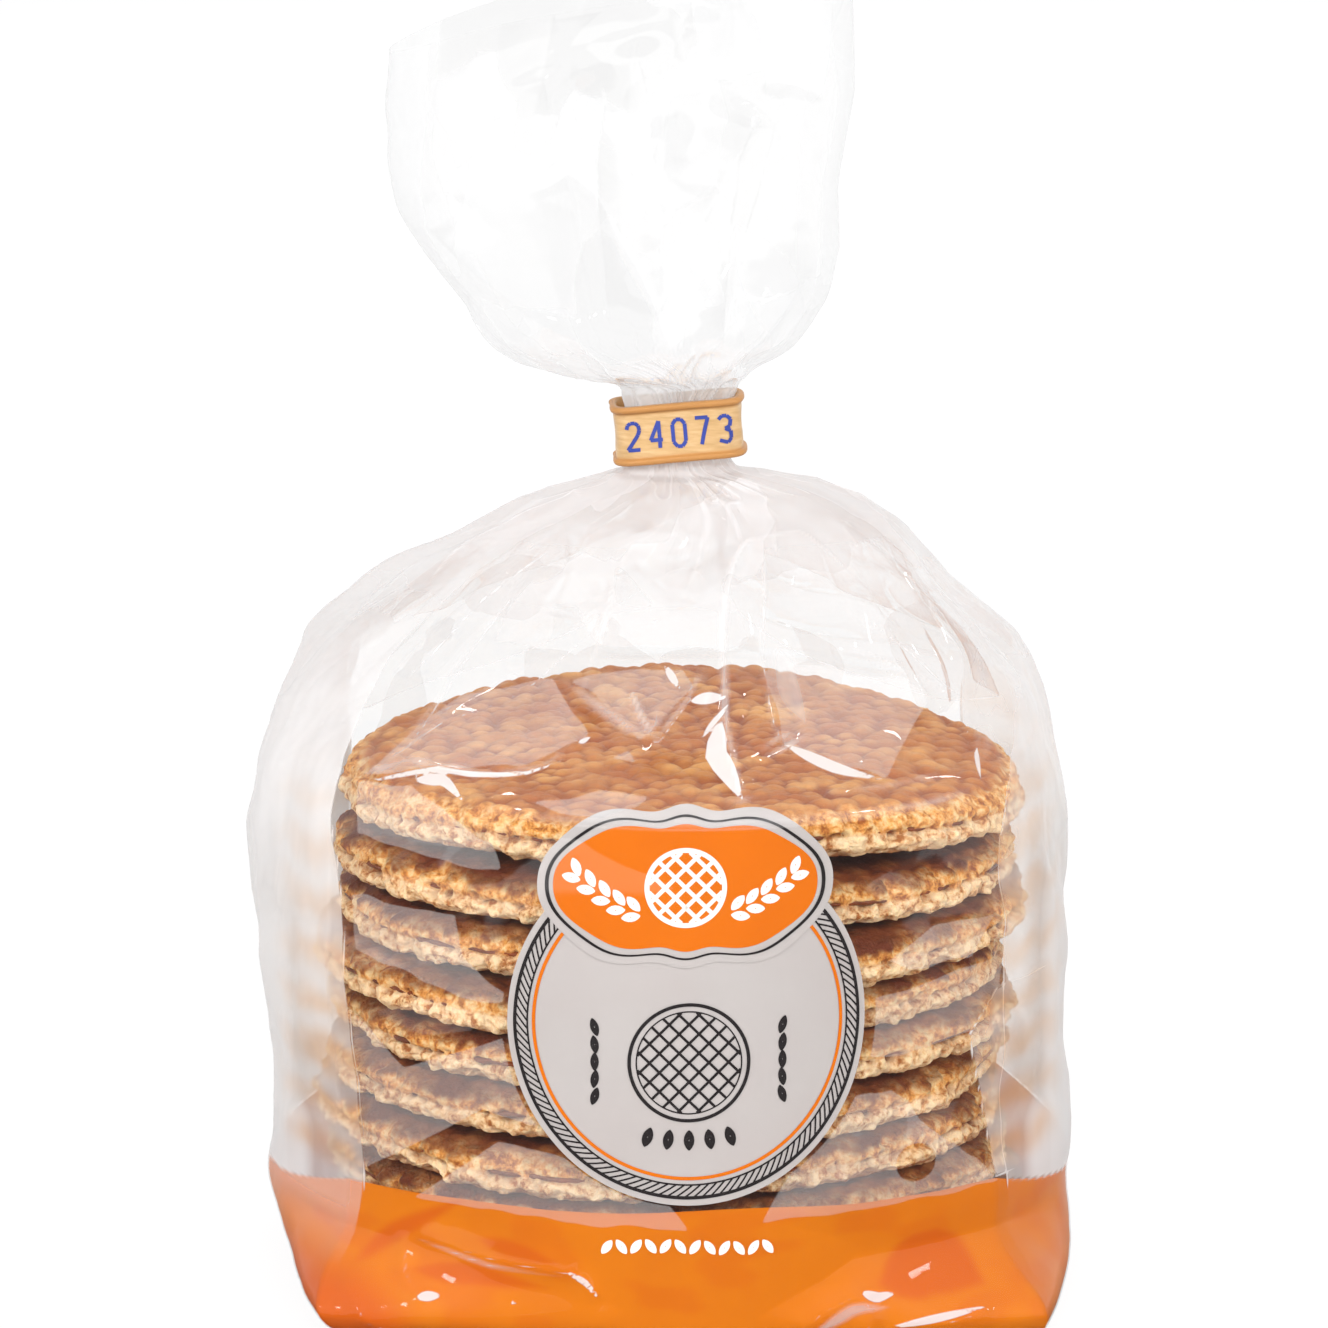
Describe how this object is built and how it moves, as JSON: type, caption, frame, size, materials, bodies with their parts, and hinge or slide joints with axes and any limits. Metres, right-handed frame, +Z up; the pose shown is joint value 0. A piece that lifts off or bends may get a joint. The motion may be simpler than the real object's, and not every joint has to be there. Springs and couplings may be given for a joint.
{
  "type": "bag of caramel wafers",
  "caption": "Clear block-bottom film bag holding a stack of round caramel-filled wafers, gathered at the neck in a clip strip, with an orange foot and a round label.",
  "frame": {"origin": "middle of the flat base, on the surface the bag stands on", "axes": "+Z up along the wafer stack to the gathered mouth, -Y towards the labelled front panel, +X across it to the viewer's right"},
  "size_m": [0.1197, 0.1036, 0.187],
  "materials": {
    "clear_film": "clear glossy film, thin and creased",
    "closure_paper": "satin coated paper band with a thicker bead along both edges",
    "orange_print": "orange ink printed behind glossy film",
    "label_print": "pale grey, black and orange inks printed behind glossy film",
    "baked_wafer": "baked golden brown waffle crust with shallow dimples and a crumbly edge",
    "caramel": "glossy dark brown caramel syrup"
  },
  "bodies": {
    "root": {"bag": "clear_film", "closure_strip": "closure_paper"}
  },
  "joints": []
}
